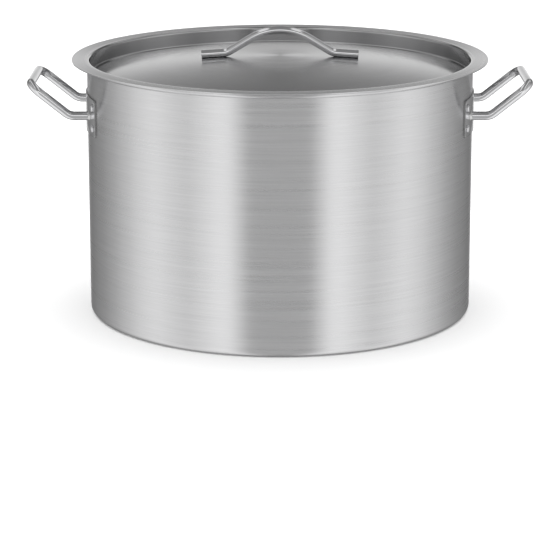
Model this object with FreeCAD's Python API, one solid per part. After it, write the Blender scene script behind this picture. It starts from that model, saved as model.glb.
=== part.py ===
"""Low stock pot with a sunken lid: drawn steel shell, sandwich base, riveted bent-rod handles.

Frame: millimetres, +Z up. The origin is the centre of the base's underside, on the
surface the pot stands on. The side handles lie along X and the lid handle runs along X.
Each piece is one solid and is written to parts/NODE.step.
"""
import FreeCAD, Part
import math
import os

from FreeCAD import Vector

os.makedirs("parts", exist_ok=True)

# ---------------------------------------------------------------- driving dimensions

# Shell: drawn sheet, rolled outwards into a bead at the mouth.
pot_inner_radius = 200.0
pot_depth = 260.0                # inner floor to the top of the bead
shell_sheet = 1.0
shell_corner_radius = 4.5        # outside of the bend between wall and floor
bead_diameter = 5.6
bead_turn = 268.0                # degrees that the sheet is curled through
# Base: an aluminium core closed in by a thin steel pan.
core_thickness = 4.0
cap_sheet = 0.5
cap_corner_radius = 5.5
core_clearance = 0.1             # core to the pan's corner
cap_clearance = 0.05             # pan's upper edge to the shell's bend
# Lid: one pressed sheet with a flange, a step down into the pot and a shallow dome.
lid_sheet = 0.8
lid_overhang = 15.4              # flange edge past the shell's outer wall
lid_plug_clearance = 1.2         # step wall to the shell's inside
lid_step_depth = 17.6            # flange top to the foot of the step, on the upper face
lid_bend_radius = 2.2            # both bends, on the middle of the sheet
dome_rise = 18.6                 # foot of the step to the middle of the dome
lid_rest_gap = 0.3               # flange underside to the bead
# Lid handle: one bent rod with both feet on the dome.
lid_rod_diameter = 8.5
lid_handle_rise = 23.6           # foot to arch, on the rod's centreline
lid_handle_foot = 21.5           # straight length of a foot
lid_handle_slope = 31.0          # degrees, straight part between foot and arch
lid_foot_bend = 18.0
lid_arch_bend = 58.0
foot_gap = 0.15                  # rod to dome, filled at the weld
foot_weld_length = 13.0
foot_weld_width = 4.0
# Side handles: bent rods butt-welded to curved plates.
side_rod_diameter = 9.0
arm_spacing = 102.0              # between the centrelines of the two arms
arm_drop = 52.0                  # top of the bead to the arms
arm_straight = 20.0              # plate to the bend, before rounding
arm_reach = 40.0                 # bend to grip, horizontally
grip_rise = 32.0                 # arms to grip
arm_bend_radius = 14.0
grip_bend_radius = 14.0
arm_root_gap = 0.05              # arm end to plate, closed by the weld
arm_weld_leg = 1.4
# Handle plates and rivets.
plate_thickness = 1.5
plate_height = 39.0
plate_past_rivet = 8.3           # rivet centre to the plate's end, along the curve
plate_corner_radius = 4.0
plate_gap = 0.05                 # plate to wall
rivet_past_arm = 14.6            # arm centreline to rivet centre, along Y
rivet_spacing = 21.5             # between the two rivets of a pair
rivet_head_diameter = 8.4
rivet_head_height = 2.2
rivet_shank_diameter = 4.0
rivet_inner_diameter = 8.0
rivet_inner_height = 1.1
rivet_hole_clearance = 0.1       # on the radius
rivet_seat_gap = 0.05            # head to the curved sheet, at the nearest point

# ---------------------------------------------------------------- worked-out places

pot_outer_radius = pot_inner_radius + shell_sheet
floor_underside = cap_sheet + core_thickness
floor_top = floor_underside + shell_sheet
bead_top = floor_top + pot_depth
bead_radius = bead_diameter / 2
lid_flange_top = bead_top + lid_rest_gap + lid_sheet
lid_flange_radius = pot_outer_radius + lid_overhang
lid_step_radius = pot_inner_radius - lid_plug_clearance
arm_height = bead_top - arm_drop
plate_inner_radius = pot_outer_radius + plate_gap
plate_outer_radius = plate_inner_radius + plate_thickness
rivet_y = arm_spacing / 2 + rivet_past_arm

UP = Vector(0, 0, 1)
CENTRE = Vector(0, 0, 0)


# ---------------------------------------------------------------- shared building steps

def at(radius, height):
    """A point of a turned profile: distance from the Z axis, and height."""
    return Vector(radius, 0, height)


def arc_edge(centre, radius, start, end):
    """An arc in the XZ plane, with angles in degrees from +X towards +Z."""
    def point(angle):
        a = math.radians(angle)
        return centre + Vector(math.cos(a), 0, math.sin(a)) * radius
    return Part.Arc(point(start), point((start + end) / 2), point(end)).toShape()


def sheet_face(start, heading, moves, thickness):
    """Close a bent sheet's section from its middle line.

    moves are ("go", length) and ("turn", radius, degrees), each tangent to the last;
    degrees are positive to the left of the direction of travel.
    """
    left, right = [], []
    here, angle, half = start, heading, thickness / 2
    for move in moves:
        a = math.radians(angle)
        side = Vector(-math.sin(a), 0, math.cos(a))
        if move[0] == "go":
            there = here + Vector(math.cos(a), 0, math.sin(a)) * move[1]
            left.append(Part.makeLine(here + side * half, there + side * half))
            right.append(Part.makeLine(here - side * half, there - side * half))
            here = there
            continue
        radius, turn = move[1], move[2]
        hand = 1 if turn > 0 else -1
        centre = here + side * (radius * hand)
        first = angle - 90 * hand
        last = first + turn
        left.append(arc_edge(centre, radius - half * hand, first, last))
        right.append(arc_edge(centre, radius + half * hand, first, last))
        angle += turn
        a = math.radians(last)
        here = centre + Vector(math.cos(a), 0, math.sin(a)) * radius
    ends = [Part.makeLine(left[-1].Vertexes[-1].Point, right[-1].Vertexes[-1].Point),
            Part.makeLine(right[0].Vertexes[0].Point, left[0].Vertexes[0].Point)]
    edges = Part.__sortEdges__(left + right + ends)
    return Part.Face(Part.Wire(edges))


def turned(edges):
    """Turn a closed profile round the Z axis."""
    face = edges if isinstance(edges, Part.Face) else Part.Face(Part.Wire(edges))
    return face.revolve(CENTRE, UP, 360)


def polyline(points):
    """Straight edges through points, closed."""
    return [Part.makeLine(a, b) for a, b in zip(points, points[1:] + points[:1])]


def bent_rod(points, bend_radii, diameter):
    """Sweep a round rod along straight runs joined by tangent bends."""
    edges, last = [], points[0]
    for before, corner, after, radius in zip(points, points[1:], points[2:], bend_radii):
        way_in = (corner - before).normalize()
        way_out = (after - corner).normalize()
        half_turn = way_in.getAngle(way_out) / 2
        setback = radius * math.tan(half_turn)
        enter, leave = corner - way_in * setback, corner + way_out * setback
        inward = (way_out - way_in).normalize()
        middle = corner + inward * (radius / math.cos(half_turn) - radius)
        edges.append(Part.makeLine(last, enter))
        edges.append(Part.Arc(enter, middle, leave).toShape())
        last = leave
    edges.append(Part.makeLine(last, points[-1]))
    path = Part.Wire(edges)
    section = Part.Wire(Part.makeCircle(diameter / 2, points[0], points[1] - points[0]))
    return path.makePipeShell([section], True, True)


def mirrored(shape):
    """The same shape on the other side of the YZ plane."""
    return shape.mirror(CENTRE, Vector(1, 0, 0))


def save(name, shape):
    """Write one solid as parts/NAME.step."""
    solid = shape.Solids[0] if shape.ShapeType != "Solid" else shape
    if len(shape.Solids) != 1 or not solid.isValid():
        raise RuntimeError(f"{name} isn't one valid solid")
    solid.exportStep(f"parts/{name}.step")
    print(f"{name:28s} {solid.Volume / 1000:9.2f} cm3")


# ---------------------------------------------------------------- shell and base

def rivet_places():
    """Yield end, level, angle round the pot and height of the right plate's rivets."""
    angle = math.degrees(math.asin(rivet_y / plate_outer_radius))
    for end, side in (("front", -1), ("back", 1)):
        for level, step in (("upper", 1), ("lower", -1)):
            yield end, level, side * angle, arm_height + step * rivet_spacing / 2


def on_rivet_axis(shape, angle, height):
    """Lay a shape built along +Z from the pot's axis onto a rivet's radial line."""
    shape.rotate(CENTRE, Vector(0, 1, 0), 90)
    shape.rotate(CENTRE, UP, angle)
    shape.translate(Vector(0, 0, height))
    return shape


def rivet_holes():
    """Drills for all eight rivets, through plates and wall."""
    radius = rivet_shank_diameter / 2 + rivet_hole_clearance
    start = pot_inner_radius - 5 * shell_sheet
    length = plate_outer_radius + 5 * shell_sheet - start
    drills = []
    for _, _, angle, height in rivet_places():
        drill = Part.makeCylinder(radius, length, Vector(0, 0, start))
        drill = on_rivet_axis(drill, angle, height)
        drills += [drill, mirrored(drill)]
    return drills


def pot_shell():
    """Floor, bend, wall and curled bead as one sheet of even thickness."""
    half = shell_sheet / 2
    bend = shell_corner_radius - half
    curl = bead_radius - half
    floor_run = pot_inner_radius + half - bend
    wall_run = bead_top - bead_radius - (floor_underside + half + bend)
    moves = [("go", floor_run), ("turn", bend, 90), ("go", wall_run), ("turn", curl, -bead_turn)]
    section = sheet_face(at(0, floor_underside + half), 0, moves, shell_sheet)
    return turned(section).cut(rivet_holes())


def base_core():
    """Disc that fills the pan, with its lower edge rounded to follow the pan's corner."""
    bend = cap_corner_radius - cap_sheet - core_clearance
    centre = at(pot_outer_radius - cap_corner_radius, cap_corner_radius)
    top_angle = -math.degrees(math.asin((centre.z - floor_underside) / bend))
    curve = arc_edge(centre, bend, -90, top_angle)
    low, high = curve.Vertexes[0].Point, curve.Vertexes[-1].Point
    seat = at(low.x, cap_sheet)
    return turned(Part.__sortEdges__([
        Part.makeLine(at(0, cap_sheet), seat), Part.makeLine(seat, low), curve,
        Part.makeLine(high, at(0, high.z)), Part.makeLine(at(0, high.z), at(0, cap_sheet))]))


def base_cap():
    """Thin pan under the core, flush with the wall, reaching up to the shell's bend."""
    half = cap_sheet / 2
    bend = cap_corner_radius - half
    shell_bend_centre = floor_underside + shell_corner_radius
    inner = pot_outer_radius - cap_sheet - cap_clearance
    across = inner - (pot_outer_radius - shell_corner_radius)
    lip = shell_bend_centre - math.sqrt(shell_corner_radius ** 2 - across ** 2)
    moves = [("go", pot_outer_radius - half - bend), ("turn", bend, 90),
             ("go", lip - cap_corner_radius)]
    return turned(sheet_face(at(0, half), 0, moves, cap_sheet))


# ---------------------------------------------------------------- lid

def dome_slope():
    """Degrees of slope at the dome's outer edge, from its rise and its radius."""
    foot = lid_step_radius - lid_sheet / 2 - lid_bend_radius
    return 2 * math.degrees(math.atan(dome_rise / foot))


def lid_pan():
    """Flange, step wall and dome as one sheet, worked out from its middle line."""
    half = lid_sheet / 2
    slope = dome_slope()
    step_line = lid_step_radius - half
    flange_run = lid_flange_radius - (step_line + lid_bend_radius)
    lower_turn = 90 + slope
    lower_drop = lid_bend_radius * (1 + math.sin(math.radians(slope)))
    drop = lid_step_depth - lid_bend_radius - lower_drop
    dome_edge = step_line - lid_bend_radius * (1 - math.cos(math.radians(lower_turn)))
    dome_radius = dome_edge / math.sin(math.radians(slope))
    moves = [("go", flange_run), ("turn", lid_bend_radius, 90), ("go", drop),
             ("turn", lid_bend_radius, -lower_turn), ("turn", dome_radius, slope)]
    return turned(sheet_face(at(lid_flange_radius, lid_flange_top - half), 180, moves, lid_sheet))


def dome_height(lid, x):
    """Height of the dome's upper face at a distance x from its middle."""
    line = Part.makeLine(Vector(x, 0, 0), Vector(x, 0, 2 * lid_flange_top))
    return max(v.Z for v in lid.common(line).Vertexes)


def lid_handle(lid):
    """Hat-shaped rod: two feet laid along the dome, two slopes and an arch."""
    slope = math.radians(lid_handle_slope)
    radius = lid_rod_diameter / 2
    peak = lid_handle_rise + lid_arch_bend * (1 / math.cos(slope) - 1)
    bend_x = peak / math.tan(slope)
    end_x = bend_x + lid_foot_bend * math.tan(slope / 2) + lid_handle_foot
    middle_x = (bend_x + end_x) / 2
    low, high = dome_height(lid, end_x), dome_height(lid, bend_x)
    tilt = math.atan((high - low) / (end_x - bend_x))
    lift = (radius + foot_gap) / math.cos(tilt)
    foot_z = dome_height(lid, middle_x) + lift
    bend_z = foot_z + (middle_x - bend_x) * math.tan(tilt)
    end_z = foot_z - (end_x - middle_x) * math.tan(tilt)
    points = [Vector(-end_x, 0, end_z), Vector(-bend_x, 0, bend_z),
              Vector(0, 0, bend_z + peak),
              Vector(bend_x, 0, bend_z), Vector(end_x, 0, end_z)]
    rod = bent_rod(points, [lid_foot_bend, lid_arch_bend, lid_foot_bend], lid_rod_diameter)
    return rod, middle_x


def foot_weld(lid, rod, x):
    """Run of weld metal between one foot and the dome."""
    surface = dome_height(lid, x)
    corner = Vector(x - foot_weld_length / 2, -foot_weld_width / 2, surface - lid_rod_diameter / 2)
    block = Part.makeBox(foot_weld_length, foot_weld_width, lid_rod_diameter, corner)
    left_over = block.cut([lid, rod]).Solids
    return min(left_over, key=lambda solid: abs(solid.CenterOfMass.z - surface))


# ---------------------------------------------------------------- side handles

def plate_face_x(y):
    """X of the right plate's outer face at a given Y."""
    return math.sqrt(plate_outer_radius ** 2 - y ** 2)


def handle_plate(holes):
    """Strap bent to the wall, with rounded corners and its rivet holes."""
    angle = math.degrees(math.asin(rivet_y / plate_outer_radius))
    angle += math.degrees(plate_past_rivet / plate_outer_radius)
    low, high = arm_height - plate_height / 2, arm_height + plate_height / 2
    section = Part.Face(Part.Wire(polyline([
        at(plate_inner_radius, low), at(plate_outer_radius, low),
        at(plate_outer_radius, high), at(plate_inner_radius, high)])))
    section.rotate(CENTRE, UP, -angle)
    strap = section.revolve(CENTRE, UP, 2 * angle)
    corners = [e for e in strap.Edges if abs(e.Length - plate_thickness) < 0.01]
    return strap.makeFillet(plate_corner_radius, corners).cut(holes)


def side_handle():
    """Two arms that leave the plate level, climb outwards and join in the grip."""
    y = arm_spacing / 2
    bend_x = plate_face_x(y) + arm_straight
    grip_x, grip_z = bend_x + arm_reach, arm_height + grip_rise
    inside = pot_inner_radius * math.cos(math.asin(y / pot_inner_radius)) - side_rod_diameter
    points = [Vector(inside, -y, arm_height), Vector(bend_x, -y, arm_height),
              Vector(grip_x, -y, grip_z), Vector(grip_x, y, grip_z),
              Vector(bend_x, y, arm_height), Vector(inside, y, arm_height)]
    radii = [arm_bend_radius, grip_bend_radius, grip_bend_radius, arm_bend_radius]
    rod = bent_rod(points, radii, side_rod_diameter)
    cope = Part.makeCylinder(plate_outer_radius + arm_root_gap, 2 * bead_top)
    return rod.cut(cope)


def arm_weld(y, rod):
    """Ring of weld metal round one arm, tapering from the plate onto the rod."""
    radius = side_rod_diameter / 2
    tip = plate_face_x(abs(y)) + arm_weld_leg
    root = plate_face_x(abs(y) + radius + 2 * arm_weld_leg)
    widest = radius + tip - root
    cone = Part.makeCone(widest, radius, tip - root, Vector(root, y, arm_height), Vector(1, 0, 0))
    plate_side = Part.makeCylinder(plate_outer_radius + arm_root_gap, 2 * bead_top)
    ring = cone.cut([plate_side, rod])
    return max(ring.Solids, key=lambda solid: solid.Volume)


def rivet(angle, height):
    """Domed head outside, shank through plate and wall, low head inside."""
    shank = rivet_shank_diameter / 2
    outer, inner = rivet_head_diameter / 2, rivet_inner_diameter / 2
    seat_out = plate_outer_radius + rivet_seat_gap
    sag = pot_inner_radius - math.sqrt(pot_inner_radius ** 2 - inner ** 2)
    seat_in = pot_inner_radius - sag - rivet_seat_gap
    rim = rivet_head_height / 4

    def dome(edge, seat, rise):
        """Arc from the head's rim to its crown, on the rivet's axis."""
        radius = (edge ** 2 + rise ** 2) / (2 * abs(rise))
        middle = seat + rise - math.copysign(radius, rise)
        reach = math.sqrt(radius ** 2 - (edge / 2) ** 2)
        through = at(edge / 2, middle + math.copysign(reach, rise))
        return Part.Arc(at(edge, seat), through, at(0, seat + rise)).toShape()

    crown = seat_out + rivet_head_height
    foot = seat_in - rivet_inner_height
    profile = [
        dome(outer, seat_out + rim, rivet_head_height - rim),
        Part.makeLine(at(0, crown), at(0, foot)),
        dome(inner, seat_in - rim / 2, rim / 2 - rivet_inner_height),
        Part.makeLine(at(inner, seat_in - rim / 2), at(inner, seat_in)),
        Part.makeLine(at(inner, seat_in), at(shank, seat_in)),
        Part.makeLine(at(shank, seat_in), at(shank, seat_out)),
        Part.makeLine(at(shank, seat_out), at(outer, seat_out)),
        Part.makeLine(at(outer, seat_out), at(outer, seat_out + rim))]
    return on_rivet_axis(turned(Part.__sortEdges__(profile)), angle, height)


# ---------------------------------------------------------------- write the pieces

save("pot_shell", pot_shell())
save("base_core", base_core())
save("base_cap", base_cap())

lid = lid_pan()
handle, foot_x = lid_handle(lid)
save("lid_pan", lid)
save("lid_handle", handle)
for side_name, x in (("left", -foot_x), ("right", foot_x)):
    save(f"lid_handle_weld_{side_name}", foot_weld(lid, handle, x))

right_plate = handle_plate(rivet_holes())
right_handle = side_handle()
for side_name, place in (("right", Part.Shape.copy), ("left", mirrored)):
    save(f"handle_plate_{side_name}", place(right_plate))
    save(f"side_handle_{side_name}", place(right_handle))
    for end_name, y in (("front", -arm_spacing / 2), ("back", arm_spacing / 2)):
        save(f"arm_weld_{side_name}_{end_name}", place(arm_weld(y, right_handle)))
    for end_name, level, angle, height in rivet_places():
        save(f"rivet_{side_name}_{end_name}_{level}", place(rivet(angle, height)))
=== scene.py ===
import math

import bmesh
import bpy
from mathutils import Matrix, Vector


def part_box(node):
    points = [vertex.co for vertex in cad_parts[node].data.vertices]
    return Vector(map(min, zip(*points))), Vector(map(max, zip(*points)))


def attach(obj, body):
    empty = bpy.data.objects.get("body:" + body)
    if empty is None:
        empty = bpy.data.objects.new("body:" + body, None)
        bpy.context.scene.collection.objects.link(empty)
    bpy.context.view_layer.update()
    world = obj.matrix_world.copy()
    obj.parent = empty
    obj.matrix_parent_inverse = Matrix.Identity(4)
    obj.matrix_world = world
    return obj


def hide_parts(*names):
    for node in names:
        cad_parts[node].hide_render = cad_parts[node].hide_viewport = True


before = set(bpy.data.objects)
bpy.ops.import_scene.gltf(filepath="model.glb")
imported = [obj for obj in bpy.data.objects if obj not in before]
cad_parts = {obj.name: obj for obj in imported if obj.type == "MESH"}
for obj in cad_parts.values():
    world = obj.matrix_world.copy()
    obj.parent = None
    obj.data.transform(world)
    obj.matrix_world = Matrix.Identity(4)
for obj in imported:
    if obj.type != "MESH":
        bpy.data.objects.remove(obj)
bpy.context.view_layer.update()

# ---------------------------------------------------------------- sandwich base
# An aluminium disc bonded under the pot's floor spreads the heat. A thin steel pan is
# pressed over it and hides it; its side stands flush with the wall and its underside
# is turned in fine rings.


def full_turn(count):
    """Angles spaced evenly round a whole turn."""
    return [2 * math.pi * i / count for i in range(count)]


def quarter_turn(pieces):
    """Angles from nothing to a right angle, both included."""
    return [math.pi / 2 * i / pieces for i in range(pieces + 1)]


def skin(name, loops, material, joined=False, sharp=40):
    """Stretch quads over closed loops of points, cap both ends, and face it all outwards.

    joined closes the row of loops into a ring instead of capping it. Points on one spot,
    as on an axis, become one. Edges that turn by more than sharp degrees stay sharp.
    """
    count = len(loops[0])
    points = [point for loop in loops for point in loop]
    faces = []
    for row in range(len(loops) if joined else len(loops) - 1):
        here = row * count
        there = (row + 1) % len(loops) * count
        for i in range(count):
            j = (i + 1) % count
            faces.append((here + i, here + j, there + j, there + i))
    if not joined:
        faces.append(tuple(range(count - 1, -1, -1)))
        faces.append(tuple(range(len(points) - count, len(points))))
    mesh = bpy.data.meshes.new(name)
    mesh.from_pydata(points, [], faces)
    one_spot = 1e-7
    solid = bmesh.new()
    solid.from_mesh(mesh)
    bmesh.ops.remove_doubles(solid, verts=solid.verts, dist=one_spot)
    loose = [edge for edge in solid.edges if not edge.link_faces]
    bmesh.ops.delete(solid, geom=loose, context="EDGES")
    bmesh.ops.recalc_face_normals(solid, faces=solid.faces)
    solid.to_mesh(mesh)
    solid.free()
    mesh.materials.append(material)
    mesh.shade_smooth()
    mesh.set_sharp_from_angle(angle=math.radians(sharp))
    piece = bpy.data.objects.new(name, mesh)
    bpy.context.scene.collection.objects.link(piece)
    return piece


def spin(name, outline, material):
    """Turn an outline of (radius, height) points round the pot's axis."""
    steps_round = 256
    loops = []
    for a in full_turn(steps_round):
        loops.append([(r * math.cos(a), r * math.sin(a), z) for r, z in outline])
    return skin(name, loops, material, joined=True, sharp=35)


def metal(name, colour, roughness, anisotropy=0.0):
    """A bare metal shader; returns the material, its nodes, its links and the shader."""
    grain_turn = 0.25
    material = bpy.data.materials.new(name)
    material.use_nodes = True
    nodes, links = material.node_tree.nodes, material.node_tree.links
    shader = nodes["Principled BSDF"]
    shader.inputs["Base Color"].default_value = (*colour, 1)
    shader.inputs["Metallic"].default_value = 1
    shader.inputs["Roughness"].default_value = roughness
    shader.inputs["Anisotropic"].default_value = anisotropy
    shader.inputs["Anisotropic Rotation"].default_value = grain_turn
    return material, nodes, links, shader


def ranged(nodes, links, noise, low, high):
    """Spread a noise, which mostly stays between 0.3 and 0.7, from low to high."""
    spread = nodes.new("ShaderNodeMapRange")
    spread.inputs["From Min"].default_value = 0.3
    spread.inputs["From Max"].default_value = 0.7
    spread.inputs["To Min"].default_value = low
    spread.inputs["To Max"].default_value = high
    links.new(noise, spread.inputs["Value"])
    return spread.outputs["Result"]


def tinted(nodes, links, value, colour):
    """A colour scaled by a value."""
    scale = nodes.new("ShaderNodeVectorMath")
    scale.operation = "SCALE"
    scale.inputs[0].default_value = colour
    links.new(value, scale.inputs["Scale"])
    return scale.outputs["Vector"]


def by_distance(nodes, links, distance, value, steps):
    """A value multiplied by an amount that changes with distance from the pot's axis.

    Steps are (distance, amount). A colour ramp holds at most 1, so it holds half of each
    amount, up to 2, and the result is doubled.
    """
    ramp_length = 0.25
    belt = nodes.new("ShaderNodeValToRGB")
    elements = belt.color_ramp.elements
    while len(elements) < len(steps):
        elements.new(0.5)
    for element, (place, _) in zip(elements, steps):
        element.position = place / ramp_length
    for element, (_, times) in zip(elements, steps):
        element.color = (times / 2, times / 2, times / 2, 1)
    share = nodes.new("ShaderNodeMath")
    share.operation = "DIVIDE"
    share.inputs[1].default_value = ramp_length
    links.new(distance, share.inputs[0])
    links.new(share.outputs[0], belt.inputs[0])
    scaled = nodes.new("ShaderNodeMath")
    scaled.operation = "MULTIPLY"
    links.new(value, scaled.inputs[0])
    links.new(belt.outputs["Color"], scaled.inputs[1])
    doubled = nodes.new("ShaderNodeMath")
    doubled.operation = "MULTIPLY"
    doubled.inputs[1].default_value = 2
    links.new(scaled.outputs[0], doubled.inputs[0])
    return doubled.outputs[0]


def brushed_round(name, colour, roughness, anisotropy, fine, coarse, contrast, zones=()):
    """Steel brushed round the pot's axis: streaks follow rings on flats and walls alike.

    fine and coarse are the widths of the two sets of streaks, in metres. zones says how
    the finish changes outwards, and paints light and shade with it: (distance, times the
    roughness, times the colour, which is painted light and shade).
    """
    hairline_length = 0.05
    band_length = 0.35
    groove_depth = 0.0006
    material, nodes, links, shader = metal(name, colour, roughness, anisotropy)
    place = nodes.new("ShaderNodeTexCoord")
    parts = nodes.new("ShaderNodeSeparateXYZ")
    links.new(place.outputs["Object"], parts.inputs[0])
    flat = nodes.new("ShaderNodeCombineXYZ")
    links.new(parts.outputs["X"], flat.inputs["X"])
    links.new(parts.outputs["Y"], flat.inputs["Y"])
    reach = nodes.new("ShaderNodeVectorMath")
    reach.operation = "LENGTH"
    links.new(flat.outputs[0], reach.inputs[0])
    distance = reach.outputs["Value"]
    across = nodes.new("ShaderNodeMath")
    across.operation = "ADD"
    links.new(distance, across.inputs[0])
    links.new(parts.outputs["Z"], across.inputs[1])
    along = nodes.new("ShaderNodeCombineXYZ")
    links.new(parts.outputs["X"], along.inputs["X"])
    links.new(parts.outputs["Y"], along.inputs["Y"])
    links.new(across.outputs[0], along.inputs["Z"])

    def streaks(width, length, detail):
        grain = nodes.new("ShaderNodeMapping")
        grain.inputs["Scale"].default_value = (1 / length, 1 / length, 1 / width)
        links.new(along.outputs[0], grain.inputs["Vector"])
        noise = nodes.new("ShaderNodeTexNoise")
        noise.inputs["Scale"].default_value = 1
        noise.inputs["Detail"].default_value = detail
        links.new(grain.outputs[0], noise.inputs["Vector"])
        return noise.outputs["Fac"]

    hairlines = streaks(fine, hairline_length, 3)
    bands = streaks(coarse, band_length, 2)
    both = nodes.new("ShaderNodeMath")
    both.operation = "MULTIPLY"
    links.new(ranged(nodes, links, hairlines, 1 - contrast, 1 + contrast), both.inputs[0])
    links.new(ranged(nodes, links, bands, 1 - contrast, 1 + contrast), both.inputs[1])
    tone = both.outputs[0]
    rough = ranged(nodes, links, bands, roughness * 0.88, roughness * 1.12)
    if zones:
        rough = by_distance(nodes, links, distance, rough, [(d, times) for d, times, _ in zones])
        # Painted light and shade: the colour is scaled by distance from the axis.
        tone = by_distance(nodes, links, distance, tone, [(d, times) for d, _, times in zones])
    links.new(tinted(nodes, links, tone, colour), shader.inputs["Base Color"])
    links.new(rough, shader.inputs["Roughness"])
    bump = nodes.new("ShaderNodeBump")
    bump.inputs["Strength"].default_value = 0.15
    bump.inputs["Distance"].default_value = contrast * groove_depth
    links.new(hairlines, bump.inputs["Height"])
    links.new(bump.outputs["Normal"], shader.inputs["Normal"])
    tangent = nodes.new("ShaderNodeTangent")
    tangent.direction_type = "RADIAL"
    tangent.axis = "Z"
    links.new(tangent.outputs[0], shader.inputs["Tangent"])
    return material


def core_aluminium():
    """Rolled aluminium, dull, with a soft cloud of handling marks."""
    colour = (0.72, 0.73, 0.74)
    material, nodes, links, shader = metal("core_aluminium", colour, 0.45)
    marks = nodes.new("ShaderNodeTexNoise")
    marks.inputs["Scale"].default_value = 60
    marks.inputs["Detail"].default_value = 5
    cloud = ranged(nodes, links, marks.outputs["Fac"], 0.92, 1.04)
    links.new(tinted(nodes, links, cloud, colour), shader.inputs["Base Color"])
    links.new(ranged(nodes, links, marks.outputs["Fac"], 0.38, 0.52), shader.inputs["Roughness"])
    return material


cap_sheet = 0.0005
cap_corner = 0.0055
cap_corner_inside = cap_corner - cap_sheet
cap_lip = 0.0089
lip_gap = 0.00003
seam_depth = 0.0022
seam_pieces = 6
pot_corner = 0.0045
pot_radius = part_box("base_cap")[1].x
corner_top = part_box("pot_shell")[0].z + pot_corner
seam_foot = corner_top - seam_depth
base_steel = brushed_round("turned_steel", (0.60, 0.60, 0.605), roughness=0.30, anisotropy=0.9,
                           fine=0.0005, coarse=0.003, contrast=0.05)
core_metal = core_aluminium()
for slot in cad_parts["base_core"].material_slots:
    slot.material = core_metal
outside = [(0, 0), (pot_radius - cap_corner, 0)]
for a in quarter_turn(8)[1:]:
    outside.append((pot_radius - cap_corner * (1 - math.sin(a)), cap_corner * (1 - math.cos(a))))
outside.append((pot_radius, cap_lip))
inside = []
for i in range(seam_pieces + 1):
    z = cap_lip - (cap_lip - seam_foot) * i / seam_pieces
    bend = pot_corner - math.sqrt(pot_corner ** 2 - (corner_top - z) ** 2)
    inside.append((pot_radius - bend + lip_gap, z))
inside = [point for point in inside if point[0] < pot_radius - lip_gap]
for a in reversed(quarter_turn(8)):
    inside.append((pot_radius - cap_corner + cap_corner_inside * math.sin(a),
                   cap_corner - cap_corner_inside * math.cos(a)))
inside.append((0, cap_sheet))
base_pan = spin("base_pan", outside + inside, base_steel)
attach(base_pan, "pot")
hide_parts("base_cap")

# ---------------------------------------------------------------- pot shell
# One deep-drawn steel sheet: floor, tight bend, straight wall, and a bead at the mouth
# curled outwards on a spinning lathe. The wall is brushed round and round, satin.


def sheet_outline(start, heading, moves, thickness):
    """Both faces of a bent sheet, as (radius, height) points, from its middle line.

    Moves are ("go", length) or ("turn", radius, degrees to the left, pieces in the bend).
    """
    x, z = start
    angle = heading
    half = thickness / 2
    left, right = [], []

    def mark():
        a = math.radians(angle)
        left.append((x - half * math.sin(a), z + half * math.cos(a)))
        right.append((x + half * math.sin(a), z - half * math.cos(a)))

    mark()
    for move in moves:
        if move[0] == "go":
            a = math.radians(angle)
            x, z = x + move[1] * math.cos(a), z + move[1] * math.sin(a)
            mark()
            continue
        radius, turn, pieces = move[1:]
        chord = 2 * radius * math.sin(math.radians(abs(turn) / pieces / 2))
        for _ in range(pieces):
            a = math.radians(angle + turn / pieces / 2)
            x, z = x + chord * math.cos(a), z + chord * math.sin(a)
            angle += turn / pieces
            mark()
    return left + right[::-1]


shell_sheet = 0.001
bead_size = 0.0056
bead_turn = 268
floor_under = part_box("pot_shell")[0].z
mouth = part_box("pot_shell")[1].z
shell_bend = pot_corner - shell_sheet / 2
bead_bend = bead_size / 2 - shell_sheet / 2
floor_run = pot_radius - shell_sheet / 2 - shell_bend
wall_run = mouth - bead_size / 2 - floor_under - pot_corner
wall_steel = brushed_round("wall_steel", (0.60, 0.60, 0.605), roughness=0.30, anisotropy=0.9,
                           fine=0.0005, coarse=0.003, contrast=0.05)
shell_outline = sheet_outline(
    (0, floor_under + shell_sheet / 2), 0,
    [("go", floor_run), ("turn", shell_bend, 90, 9), ("go", wall_run),
     ("turn", bead_bend, -bead_turn, 27)],
    shell_sheet)
pot_body = spin("pot_body", shell_outline, wall_steel)
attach(pot_body, "pot")
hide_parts("pot_shell")

# ---------------------------------------------------------------- handle plates
# A 1.5 mm strap for each side handle, cut with rounded corners, bent to the wall's
# curve and polished to a mirror before it is riveted on.


def polished(name, colour, roughness, rub_scale):
    """Mirror-polished steel with faint rubbing marks and soft patches of wear."""
    rub_depth = 0.00002
    material, nodes, links, shader = metal(name, colour, roughness)
    place = nodes.new("ShaderNodeTexCoord")
    rubs = nodes.new("ShaderNodeTexNoise")
    rubs.inputs["Scale"].default_value = rub_scale
    rubs.inputs["Detail"].default_value = 6
    rubs.inputs["Distortion"].default_value = 1.5
    links.new(place.outputs["Object"], rubs.inputs["Vector"])
    patches = nodes.new("ShaderNodeTexNoise")
    patches.inputs["Scale"].default_value = 35
    patches.inputs["Detail"].default_value = 2
    links.new(place.outputs["Object"], patches.inputs["Vector"])
    rough = ranged(nodes, links, rubs.outputs["Fac"], roughness * 0.6, roughness * 1.6)
    links.new(rough, shader.inputs["Roughness"])
    tone = ranged(nodes, links, patches.outputs["Fac"], 0.95, 1.03)
    links.new(tinted(nodes, links, tone, colour), shader.inputs["Base Color"])
    bump = nodes.new("ShaderNodeBump")
    bump.inputs["Strength"].default_value = 0.05
    bump.inputs["Distance"].default_value = rub_depth
    links.new(rubs.outputs["Fac"], bump.inputs["Height"])
    links.new(bump.outputs["Normal"], shader.inputs["Normal"])
    return material


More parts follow.
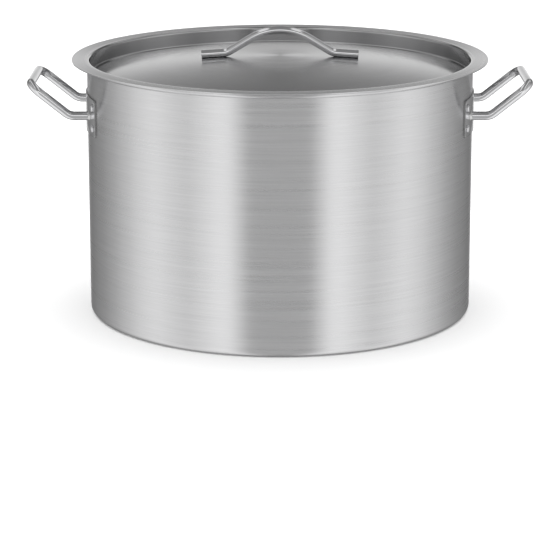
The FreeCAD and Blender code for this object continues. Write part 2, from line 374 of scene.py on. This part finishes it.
def strap(name, side, low, high, thickness, corner, edge, material):
    """A strap bent round the wall; low and high are its box, edge is its softened edge."""
    face_pieces = 30
    outer = max(abs(low.x), abs(high.x))
    inner = outer - thickness
    half_angle = math.asin(high.y / outer)
    middle, half_height = (low.z + high.z) / 2, (high.z - low.z) / 2
    straight = half_angle - corner / outer
    stations = [(half_angle, half_height - corner, edge)]
    for a in quarter_turn(8)[1:]:
        stations.append((straight + (corner / outer) * math.cos(a),
                         half_height - corner + corner * math.sin(a), 0))
    for i in range(1, face_pieces):
        stations.append((straight * (1 - i / face_pieces), half_height, 0))
    stations += [(0, half_height, 0)] + [(-a, h, recess) for a, h, recess in reversed(stations)]
    loops = []
    for a, h, recess in stations:
        face = outer - recess
        lip = h - edge
        section = [(inner, -h), (outer - edge, -h), (face, -lip), (face, -lip / 2), (face, lip / 2),
                   (face, lip), (outer - edge, h), (inner, h)]
        loops.append([(side * r * math.cos(a), r * math.sin(a), middle + z) for r, z in section])
    return skin(name, loops, material, sharp=50)


def with_shaded_cut_edges(material, low, high, painted_shade, dull):
    """Dull a strap's sawn edges, faces that don't look straight out from the axis, and darken
    them with painted shade for the dark line round the plate.

    low and high are the cosines of that angle at which a face is all sawn edge and all
    polished face. A Mix node's inputs and result go by number: 6, 7 and 2 for a colour, and
    2, 3 and 0 for an amount.
    """
    nodes, links = material.node_tree.nodes, material.node_tree.links
    shader = nodes["Principled BSDF"]
    place = nodes.new("ShaderNodeNewGeometry")
    level = nodes.new("ShaderNodeVectorMath")
    level.operation = "MULTIPLY"
    level.inputs[1].default_value = (1, 1, 0)
    links.new(place.outputs["Position"], level.inputs[0])
    outward = nodes.new("ShaderNodeVectorMath")
    outward.operation = "NORMALIZE"
    links.new(level.outputs["Vector"], outward.inputs[0])
    facing = nodes.new("ShaderNodeVectorMath")
    facing.operation = "DOT_PRODUCT"
    links.new(outward.outputs["Vector"], facing.inputs[0])
    links.new(place.outputs["Normal"], facing.inputs[1])
    unshaded_polish = nodes.new("ShaderNodeMapRange")
    unshaded_polish.inputs["From Min"].default_value = low
    unshaded_polish.inputs["From Max"].default_value = high
    links.new(facing.outputs["Value"], unshaded_polish.inputs["Value"])
    # The edge colour is painted shade for the dark line round the plate; the edge roughness is the
    # sawn finish.
    for socket, kind, edge_shade_and_dullness, numbers in (("Base Color", "RGBA", (painted_shade, painted_shade, painted_shade, 1), (6, 7, 2)),
                                       ("Roughness", "FLOAT", dull, (2, 3, 0))):
        first, second, result = numbers
        finish = shader.inputs[socket].links[0].from_socket
        blend = nodes.new("ShaderNodeMix")
        blend.data_type = kind
        blend.inputs[first].default_value = edge_shade_and_dullness
        links.new(unshaded_polish.outputs["Result"], blend.inputs[0])
        links.new(finish, blend.inputs[second])
        links.new(blend.outputs[result], shader.inputs[socket])


plate_thickness = 0.0015
plate_corner = 0.004
plate_edge = 0.00025
plate_steel = polished("plate_steel", (0.64, 0.64, 0.65), roughness=0.10, rub_scale=500)
# Painted shade darkens the plates' sawn edges; their dullness is their own.
with_shaded_cut_edges(plate_steel, low=0.3, high=0.7, painted_shade=0.36, dull=0.40)
for side_name, side in (("left", -1), ("right", 1)):
    low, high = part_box(f"handle_plate_{side_name}")
    plate = strap(f"plate_{side_name}", side, low, high, plate_thickness, plate_corner,
                  plate_edge, plate_steel)
    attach(plate, "pot")
    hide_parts(f"handle_plate_{side_name}")

# ---------------------------------------------------------------- rivets
# Eight solid steel rivets, two at each end of each plate. The domed heads are outside;
# the shanks pass through plate and wall and are closed with a low head inside.


def rivet_outline(seat_out, crown, seat_in, foot, outer, inner, shank):
    """Half section of a rivet as (radius, place along its axis) points, crown first."""
    undercut = 0.97
    rim = (crown - seat_out) / 4
    dome = crown - seat_out - rim
    inner_dome = seat_in - foot
    points = [(outer * math.sin(a), seat_out + rim + dome * math.cos(a)) for a in quarter_turn(9)]
    points += [(outer, seat_out + rim * 0.3), (outer * undercut, seat_out), (shank, seat_out),
               (shank, seat_in), (inner * undercut, seat_in)]
    points += [(inner * math.sin(a), seat_in - inner_dome * (0.2 + 0.8 * math.cos(a)))
               for a in reversed(quarter_turn(6))]
    return points


rivet_head = 0.0042
rivet_inner_head = 0.0040
rivet_shank = 0.0020
rivet_crown = 0.00225
rivet_foot = 0.0012
inner_seat_gap = 0.00009
rivet_sides = 40
plate_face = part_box("handle_plate_right")[1].x
wall_inside = pot_radius - shell_sheet
rivet_steel = polished("rivet_steel", (0.62, 0.62, 0.63), roughness=0.12, rub_scale=700)
outline = rivet_outline(plate_face, plate_face + rivet_crown, wall_inside - inner_seat_gap,
                        wall_inside - rivet_foot, rivet_head, rivet_inner_head, rivet_shank)
lay_outwards = Matrix.Rotation(math.pi / 2, 4, "Y")
for side_name in ("left", "right"):
    for end_name in ("front", "back"):
        for row_name in ("upper", "lower"):
            node = f"rivet_{side_name}_{end_name}_{row_name}"
            low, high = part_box(node)
            centre = (low + high) / 2
            turn = math.atan2(centre.y, centre.x)
            loops = [[(r * math.cos(a), r * math.sin(a), z) for r, z in outline]
                     for a in full_turn(rivet_sides)]
            rivet = skin(f"{side_name}_{end_name}_{row_name}_rivet", loops, rivet_steel, joined=True)
            raised = Matrix.Translation((0, 0, centre.z))
            rivet.data.transform(raised @ Matrix.Rotation(turn, 4, "Z") @ lay_outwards)
            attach(rivet, "pot")
            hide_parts(node)

# ---------------------------------------------------------------- side handles
# Each is one 9 mm rod: an arm leaves the plate level, climbs outwards, turns into the
# grip and comes back the same way. The arms are butt-welded to the plate and polished.


def rounded_route(corners, radii, step=5):
    """Points and headings along straight runs joined by tangent bends.

    step is the most degrees between two points of a bend.
    """
    route = [(corners[0], (corners[1] - corners[0]).normalized())]
    for before, corner, after, radius in zip(corners, corners[1:], corners[2:], radii):
        way_in = (corner - before).normalized()
        way_out = (after - corner).normalized()
        turn = way_in.angle(way_out)
        enter = corner - way_in * radius * math.tan(turn / 2)
        across = (way_out - way_in * way_in.dot(way_out)).normalized()
        pieces = max(3, math.ceil(math.degrees(turn) / step))
        for i in range(pieces + 1):
            a = turn * i / pieces
            place = enter + way_in * radius * math.sin(a) + across * radius * (1 - math.cos(a))
            route.append((place, way_in * math.cos(a) + across * math.sin(a)))
    route.append((corners[-1], (corners[-1] - corners[-2]).normalized()))
    return route


def rod_rings(route, radius):
    """Rings of points round a route, kept from twisting by carrying one direction along."""
    rod_sides = 48
    heading = route[0][1]
    carried = heading.orthogonal().normalized()
    rings = []
    for place, along in route:
        carried = (carried - along * carried.dot(along)).normalized()
        other = along.cross(carried)
        rings.append([place + (carried * math.cos(a) + other * math.sin(a)) * radius
                      for a in full_turn(rod_sides)])
    return rings


def on_plate(point, side, face):
    """Move a point along X onto the plate's face, a cylinder of radius face."""
    return Vector((side * math.sqrt(face ** 2 - point.y ** 2), point.y, point.z))


def arm_fillet(side, y, height, rod, leg, face):
    """Loops of a smooth ring of weld metal from the plate's face onto an arm of radius rod."""
    bite = 0.0006
    weld_sides = 48
    tip = math.sqrt(face ** 2 - y ** 2) + leg
    profile = [(rod - bite, 0)]
    profile += [(rod + leg * (1 - math.sin(a)), 1 - math.cos(a)) for a in quarter_turn(6)]
    profile += [(rod - bite, 1)]
    loops = []
    for a in full_turn(weld_sides):
        loop = []
        for radius, rise in profile:
            foot = Vector((0, y + radius * math.cos(a), height + radius * math.sin(a)))
            base = on_plate(foot, 1, face).x
            loop.append(Vector((side * (base + (tip - base) * rise), foot.y, foot.z)))
        loops.append(loop)
    return loops


rod_radius = 0.0045
arm_bend = 0.014
grip_bend = 0.014
arm_climb = 0.032
arm_straight = 0.020
weld_leg = 0.0013
rod_steel = polished("rod_steel", (0.66, 0.66, 0.67), roughness=0.08, rub_scale=350)
weld_steel = polished("weld_steel", (0.56, 0.56, 0.56), roughness=0.20, rub_scale=900)
for side_name, side in (("left", -1), ("right", 1)):
    low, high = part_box(f"side_handle_{side_name}")
    grip_x = max(abs(low.x), abs(high.x)) - rod_radius
    grip_z = high.z - rod_radius
    arm_y = high.y - rod_radius
    arm_z = grip_z - arm_climb
    arm_start = math.sqrt(plate_face ** 2 - arm_y ** 2)
    bend_x = arm_start + arm_straight
    corners = [Vector((side * arm_start, -arm_y, arm_z)), Vector((side * bend_x, -arm_y, arm_z)),
               Vector((side * grip_x, -arm_y, grip_z)), Vector((side * grip_x, arm_y, grip_z)),
               Vector((side * bend_x, arm_y, arm_z)), Vector((side * arm_start, arm_y, arm_z))]
    route = rounded_route(corners, [arm_bend, grip_bend, grip_bend, arm_bend])
    rings = rod_rings(route, rod_radius)
    for end in (0, -1):
        rings[end] = [on_plate(point, side, plate_face) for point in rings[end]]
    rod = skin(f"handle_rod_{side_name}", rings, rod_steel)
    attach(rod, "pot")
    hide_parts(f"side_handle_{side_name}")
    for end_name, y in (("front", -arm_y), ("back", arm_y)):
        loops = arm_fillet(side, y, arm_z, rod_radius, weld_leg, plate_face)
        weld = skin(f"weld_ring_{side_name}_{end_name}", loops, weld_steel, joined=True)
        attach(weld, "pot")
        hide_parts(f"arm_weld_{side_name}_{end_name}")

# ---------------------------------------------------------------- lid
# One pressed sheet: a flat flange that overhangs the bead, a step that drops inside the
# mouth, and a shallow dome. It is spun, so its finish is fine rings about the middle.

lid_sheet = 0.0008
half_sheet = lid_sheet / 2
lid_bend = 0.0022
lid_clearance = 0.0012
lid_rest_gap = 0.0003
lid_step_radius = wall_inside - lid_clearance
lid_step_depth = 0.0176
dome_rise = 0.0186
flange_top = mouth + lid_rest_gap + lid_sheet
flange_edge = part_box("lid_pan")[1].x
step_line = lid_step_radius - half_sheet
flange_run = flange_edge - step_line - lid_bend
dome_slope = 2 * math.degrees(math.atan(dome_rise / (step_line - lid_bend)))
lower_turn = 90 + dome_slope
drop = lid_step_depth - lid_bend - lid_bend * (1 + math.sin(math.radians(dome_slope)))
dome_edge = step_line - lid_bend * (1 - math.cos(math.radians(lower_turn)))
dome_radius = dome_edge / math.sin(math.radians(dome_slope))
# The colour column is painted light and shade: darkest in the middle of the dome, under the handle,
# darker on the step, and bright on the flange. The roughness column is the finish.
lid_finish_and_painted_shade = (
    (0, 0.67, 0.78),
    (0.120, 0.67, 0.86),
    (0.194, 0.67, 0.88),
    (0.197, 0.27, 0.82),
    (0.200, 0.27, 0.82),
    (0.203, 1.0, 0.98),
    (0.220, 1.0, 0.98),
)
lid_steel = brushed_round("lid_steel", (0.60, 0.60, 0.605), roughness=0.30, anisotropy=0.88,
                          fine=0.0006, coarse=0.005, contrast=0.015, zones=lid_finish_and_painted_shade)
lid_outline = sheet_outline(
    (flange_edge, flange_top - half_sheet), 180,
    [("go", flange_run), ("turn", lid_bend, 90, 15), ("go", drop),
     ("turn", lid_bend, -lower_turn, 17), ("turn", dome_radius, dome_slope, 24)],
    lid_sheet)
lid_sheet_piece = spin("lid_sheet", lid_outline, lid_steel)
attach(lid_sheet_piece, "lid")
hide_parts("lid_pan")

# ---------------------------------------------------------------- lid handle
# A single polished rod bent like a hat: two straight feet lie along the dome, two slopes
# rise to an arch. The ends are sawn flat; each foot is held by a short run of weld.


def dome_height(x):
    """Height of the dome's upper face at a distance from its middle."""
    ball = dome_radius + half_sheet
    return flange_top - lid_step_depth + dome_rise - ball + math.sqrt(ball ** 2 - x ** 2)


lid_rod_radius = 0.00425
handle_rise = 0.0236
foot_length = 0.0215
foot_bend = 0.018
foot_gap = 0.00015
arch_bend = 0.058
hat_slope = math.radians(31)
saw_edge = 0.0003
peak = handle_rise + arch_bend * (1 / math.cos(hat_slope) - 1)
bend_x = peak / math.tan(hat_slope)
end_x = bend_x + foot_bend * math.tan(hat_slope / 2) + foot_length
middle_x = (bend_x + end_x) / 2
tilt = math.atan((dome_height(bend_x) - dome_height(end_x)) / (end_x - bend_x))
foot_z = dome_height(middle_x) + (lid_rod_radius + foot_gap) / math.cos(tilt)
bend_z = foot_z + (middle_x - bend_x) * math.tan(tilt)
end_z = foot_z - (end_x - middle_x) * math.tan(tilt)
corners = [Vector((-end_x, 0, end_z)), Vector((-bend_x, 0, bend_z)), Vector((0, 0, bend_z + peak)),
           Vector((bend_x, 0, bend_z)), Vector((end_x, 0, end_z))]
route = rounded_route(corners, [foot_bend, arch_bend, foot_bend], step=3)
first, last = route[0], route[-1]
route = ([first, (first[0] + first[1] * saw_edge, first[1])] + route[1:-1]
         + [(last[0] - last[1] * saw_edge, last[1]), last])
rings = rod_rings(route, lid_rod_radius)
end_share = 1 - saw_edge / lid_rod_radius
for end in (0, -1):
    middle = route[end][0]
    rings[end] = [middle + (point - middle) * end_share for point in rings[end]]
lid_rod = skin("lid_handle_rod", rings, rod_steel, sharp=30)
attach(lid_rod, "lid")
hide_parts("lid_handle")

foot_weld_half_length = 0.0065
foot_weld_half_width = 0.0012
foot_weld_pieces = 12
bluntness = 0.04
bite_below = 0.00002
bite_above = 0.00005
for side_name, side in (("left", -1), ("right", 1)):
    loops = []
    for i in range(foot_weld_pieces + 1):
        way = 2 * i / foot_weld_pieces - 1
        x = middle_x + foot_weld_half_length * way
        width = foot_weld_half_width * math.sqrt(max(1 - way ** 4, bluntness))
        bottom = dome_height(x) - bite_below
        rod_underside = foot_z - (x - middle_x) * math.tan(tilt) - lid_rod_radius
        loop = []
        for a in full_turn(16):
            y = width * math.cos(a)
            top = rod_underside + y * y / lid_rod_radius / 2 + bite_above
            loop.append((side * x, side * y, bottom if math.sin(a) < 0 else top))
        loops.append(loop)
    weld = skin(f"foot_weld_{side_name}", loops, weld_steel)
    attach(weld, "lid")
    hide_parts(f"lid_handle_weld_{side_name}")

# ---------------------------------------------------------------- floor, light and camera
# A pale floor in a soft studio: banks of light at the sides with wings, strips and a loft
# above them, a key light low in front, a window behind and a dim ceiling. The lamp
# overhead lights the floor alone.

floor_radius = 9
floor_mesh = bpy.data.meshes.new("floor")
rim = [(floor_radius * math.cos(a), floor_radius * math.sin(a), 0) for a in full_turn(96)]
floor_mesh.from_pydata(rim, [], [tuple(range(len(rim)))])
floor = bpy.data.objects.new("floor", floor_mesh)
bpy.context.scene.collection.objects.link(floor)
paper = bpy.data.materials.new("pale_paper")
paper.use_nodes = True
paper_shader = paper.node_tree.nodes["Principled BSDF"]
paper_shader.inputs["Base Color"].default_value = (0.9, 0.9, 0.9, 1)
paper_shader.inputs["Roughness"].default_value = 0.9
floor_mesh.materials.append(paper)
floor.visible_glossy = False

world = bpy.data.worlds.new("studio")
bpy.context.scene.world = world
world.use_nodes = True
nodes, links = world.node_tree.nodes, world.node_tree.links
nodes.clear()


def combine(first, second, operation):
    """One step of arithmetic on two node outputs or numbers."""
    step = nodes.new("ShaderNodeMath")
    step.operation = operation
    for socket, value in zip(step.inputs, (first, second)):
        if isinstance(value, (int, float)):
            socket.default_value = value
        else:
            links.new(value, socket)
    return step.outputs[0]


def ramp_of(value, stops, join="EASE"):
    """A grey ramp through (place, brightness) stops."""
    ramp = nodes.new("ShaderNodeValToRGB")
    ramp.color_ramp.interpolation = join
    elements = ramp.color_ramp.elements
    while len(elements) < len(stops):
        elements.new(0.5)
    for element, (place, grey) in zip(elements, stops):
        element.position = place
    for element, (place, grey) in zip(elements, stops):
        element.color = (grey, grey, grey, 1)
    links.new(value, ramp.inputs[0])
    return ramp.outputs["Color"]


def light_of(across, upright, level=1):
    """A soft-edged light where two ramps meet, at its own brightness."""
    shape = combine(across, upright, "MULTIPLY")
    return combine(shape, level, "MULTIPLY")


def brightest(*lights):
    """The brightest of several lights in each direction."""
    best = lights[0]
    for light in lights[1:]:
        best = combine(best, light, "MAXIMUM")
    return best


def at(degrees):
    """Where a bearing falls on its ramps: 0 in front of the pot, 180 behind it."""
    return degrees / 180


def up(degrees):
    """Where a height in degrees above the horizon falls on the height ramps."""
    return degrees / 180 + 0.5


direction = nodes.new("ShaderNodeTexCoord")
toward = nodes.new("ShaderNodeSeparateXYZ")
links.new(direction.outputs["Generated"], toward.inputs[0])
sideways = combine(toward.outputs["X"], 0, "ABSOLUTE")
frontward = combine(toward.outputs["Y"], -1, "MULTIPLY")
bearing = combine(combine(sideways, frontward, "ARCTAN2"), 1 / math.pi, "MULTIPLY")
rise = combine(combine(toward.outputs["Z"], 0, "ARCSINE"), 1 / math.pi, "MULTIPLY")
height = combine(rise, 0.5, "ADD")

bank_place = ramp_of(bearing, [
    (0, 0.41), (at(18), 0.41), (at(24), 0.70), (at(31), 1.0), (at(37), 1.0), (at(48), 0.85),
    (at(57), 0.70), (at(66), 0.78), (at(80), 0.92), (at(92), 0.82), (at(105), 0.62),
    (at(120), 0.42), (at(135), 0.28), (at(158), 0.17), (1, 0.17)])
bank_height = ramp_of(height, [
    (0, 0.9), (up(-45), 1.0), (up(2), 1.0), (up(16), 0.5), (up(40), 0.4), (up(60), 0), (1, 0)])
ceiling = ramp_of(height, [(0, 0), (up(25), 0), (up(60), 0.20), (1, 0.20)])
wing_place = ramp_of(bearing, [(0, 0), (at(40), 0), (at(55), 1), (at(145), 1), (at(158), 0), (1, 0)])
wing_height = ramp_of(height, [(0, 0), (up(24), 0), (up(32), 1), (up(52), 1), (up(62), 0), (1, 0)])
strip_place = ramp_of(sideways, [(0, 0), (0.18, 0), (0.24, 1), (0.38, 1), (0.46, 0), (1, 0)])
strip_height = ramp_of(height, [(0, 0), (up(38), 0), (up(52), 1), (1, 1)])
loft_place = ramp_of(bearing, [
    (0, 0), (at(120), 0), (at(132), 1), (at(162), 1), (at(172), 0), (1, 0)])
loft_height = ramp_of(height, [(0, 0), (up(24), 0), (up(31), 1), (up(42), 1), (up(50), 0), (1, 0)])
key_place = ramp_of(bearing, [(0, 1), (at(14), 1), (at(22), 0), (1, 0)])
key_height = ramp_of(height, [(0, 0), (up(8), 0), (up(12), 1), (up(21), 1), (up(26), 0), (1, 0)])
window_place = ramp_of(bearing, [(0, 0), (at(158), 0), (at(168), 1), (1, 1)])
window_height = ramp_of(height, [
    (0, 0), (up(-20), 0.20), (up(-9), 0.62), (up(0), 0.70), (up(8), 0.58), (up(14), 0.45),
    (up(18), 0.34), (up(24), 0.17), (up(50), 0.10), (1, 0.10)], "LINEAR")

banks = combine(light_of(bank_place, bank_height), ceiling, "ADD")
wings = light_of(wing_place, wing_height, level=0.2)
strips = light_of(strip_place, strip_height, level=0.75)
loft = light_of(loft_place, loft_height, level=0.45)
key = light_of(key_place, key_height, level=1.2)
window = light_of(window_place, window_height)
studio = brightest(banks, wings, strips, loft, key, window)
glow = nodes.new("ShaderNodeBackground")
links.new(studio, glow.inputs["Color"])
glow.inputs["Strength"].default_value = 1.38
paper_white = nodes.new("ShaderNodeBackground")
paper_white.inputs["Color"].default_value = (1, 1, 1, 1)
rays = nodes.new("ShaderNodeLightPath")
either = nodes.new("ShaderNodeMixShader")
links.new(rays.outputs["Is Camera Ray"], either.inputs[0])
links.new(glow.outputs[0], either.inputs[1])
links.new(paper_white.outputs[0], either.inputs[2])
out = nodes.new("ShaderNodeOutputWorld")
links.new(either.outputs[0], out.inputs["Surface"])

lamp_data = bpy.data.lights.new("overhead", "SUN")
lamp_data.angle = math.radians(100)
lamp_data.energy = 3.4
lamp = bpy.data.objects.new("overhead", lamp_data)
lamp.rotation_euler = (math.radians(-8), 0, 0)
lamp.visible_glossy = False
bpy.context.scene.collection.objects.link(lamp)

look_down = 12.99
camera_data = bpy.data.cameras.new("camera")
camera_data.sensor_width = 36
camera_data.lens = 148.5
camera_data.shift_y = -0.157
camera_data.clip_end = 50
camera = bpy.data.objects.new("camera", camera_data)
camera.location = (0, -2.3794, 0.6702)
camera.rotation_euler = (math.radians(90 - look_down), 0, 0)
bpy.context.scene.collection.objects.link(camera)
bpy.context.scene.camera = camera
bpy.context.scene.view_settings.view_transform = "Standard"
